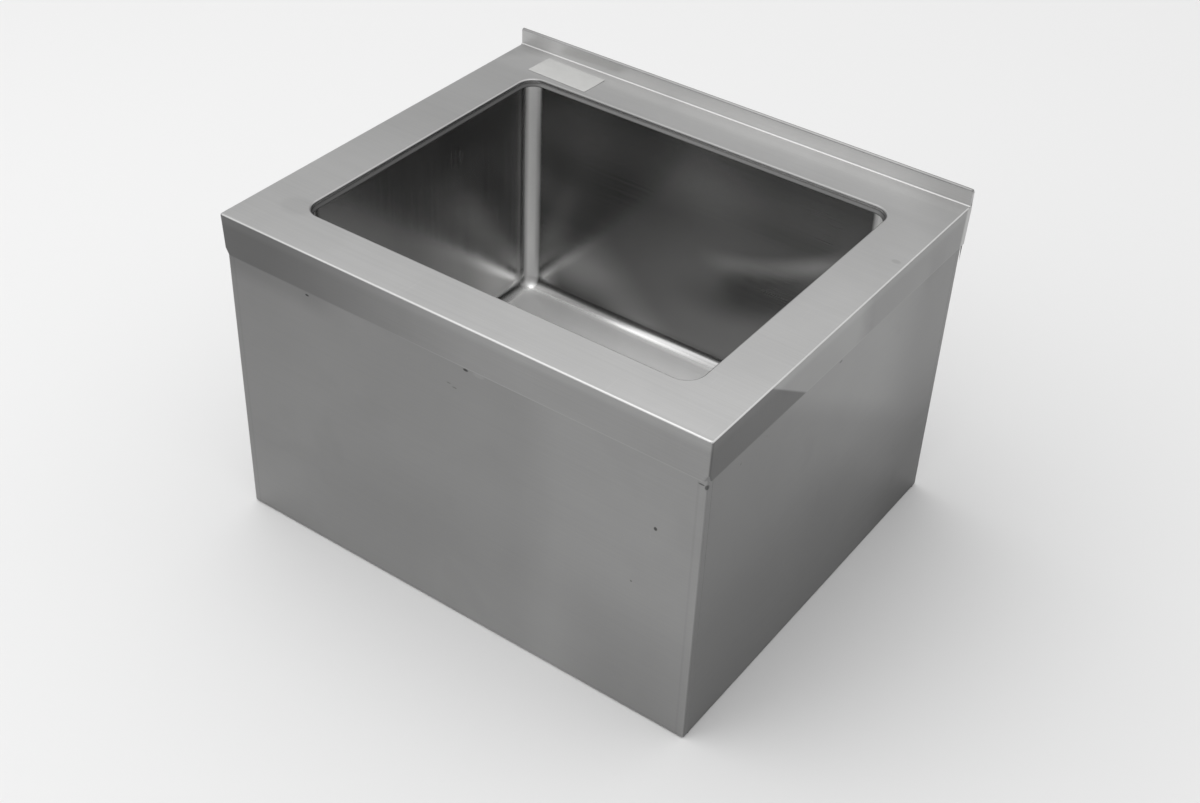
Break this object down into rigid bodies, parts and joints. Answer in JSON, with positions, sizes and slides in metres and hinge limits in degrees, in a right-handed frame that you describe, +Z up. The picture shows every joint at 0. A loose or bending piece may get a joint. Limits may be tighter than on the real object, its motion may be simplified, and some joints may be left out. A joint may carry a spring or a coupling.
{
  "type": "floor mop service sink",
  "caption": "Floor-standing stainless mop sink: folded deck with rear upstand, coved bowl, skirt panels and a basket drain with a lift-out strainer.",
  "frame": {"origin": "on the floor, under the middle of the sink's outline", "axes": "+X to the right seen from the front, +Y towards the wall, +Z up"},
  "size_m": [0.635, 0.538, 0.4306],
  "materials": {
    "brushed_sheet": "straight brushed grain, satin, light handling wear",
    "bowl_sheet": "smooth drawn sheet with faint polishing swirls",
    "panel_sheet": "fine satin mill finish, slightly mottled",
    "drain_metal": "polished",
    "strainer_metal": "polished, pressed sheet",
    "locknut_brass": "cast, dull",
    "black_rubber": "moulded, matt",
    "seal_foam": "soft foam, matt",
    "fibre_washer": "pressed fibre, matt",
    "label_paper": "blank adhesive label"
  },
  "bodies": {
    "sink": {"deck_rim": "brushed_sheet", "bowl": "bowl_sheet", "front_panel": "panel_sheet", "rear_panel": "panel_sheet", "left_panel": "panel_sheet", "right_panel": "panel_sheet", "drain_body": "drain_metal", "flange_seal": "seal_foam", "rubber_gasket": "black_rubber", "friction_washer": "fibre_washer", "drain_locknut": "locknut_brass", "blank_label": "label_paper"},
    "strainer_handle": {"strainer_post": "strainer_metal", "strainer_knob": "strainer_metal", "post_clip": "strainer_metal"},
    "strainer_basket": {"strainer_cup": "strainer_metal", "strainer_stopper": "black_rubber", "stopper_retainer": "strainer_metal"}
  },
  "joints": [
    {"name": "strainer_lift", "type": "slide", "parent": "sink", "child": "strainer_handle", "axis": [0, 0, 1], "range_m": [0, 0.38]},
    {"name": "strainer_turn", "type": "hinge", "parent": "strainer_handle", "child": "strainer_basket", "pos_m": [0, -0.0033, 0.06], "axis": [0, 0, 1], "continuous": true}
  ]
}
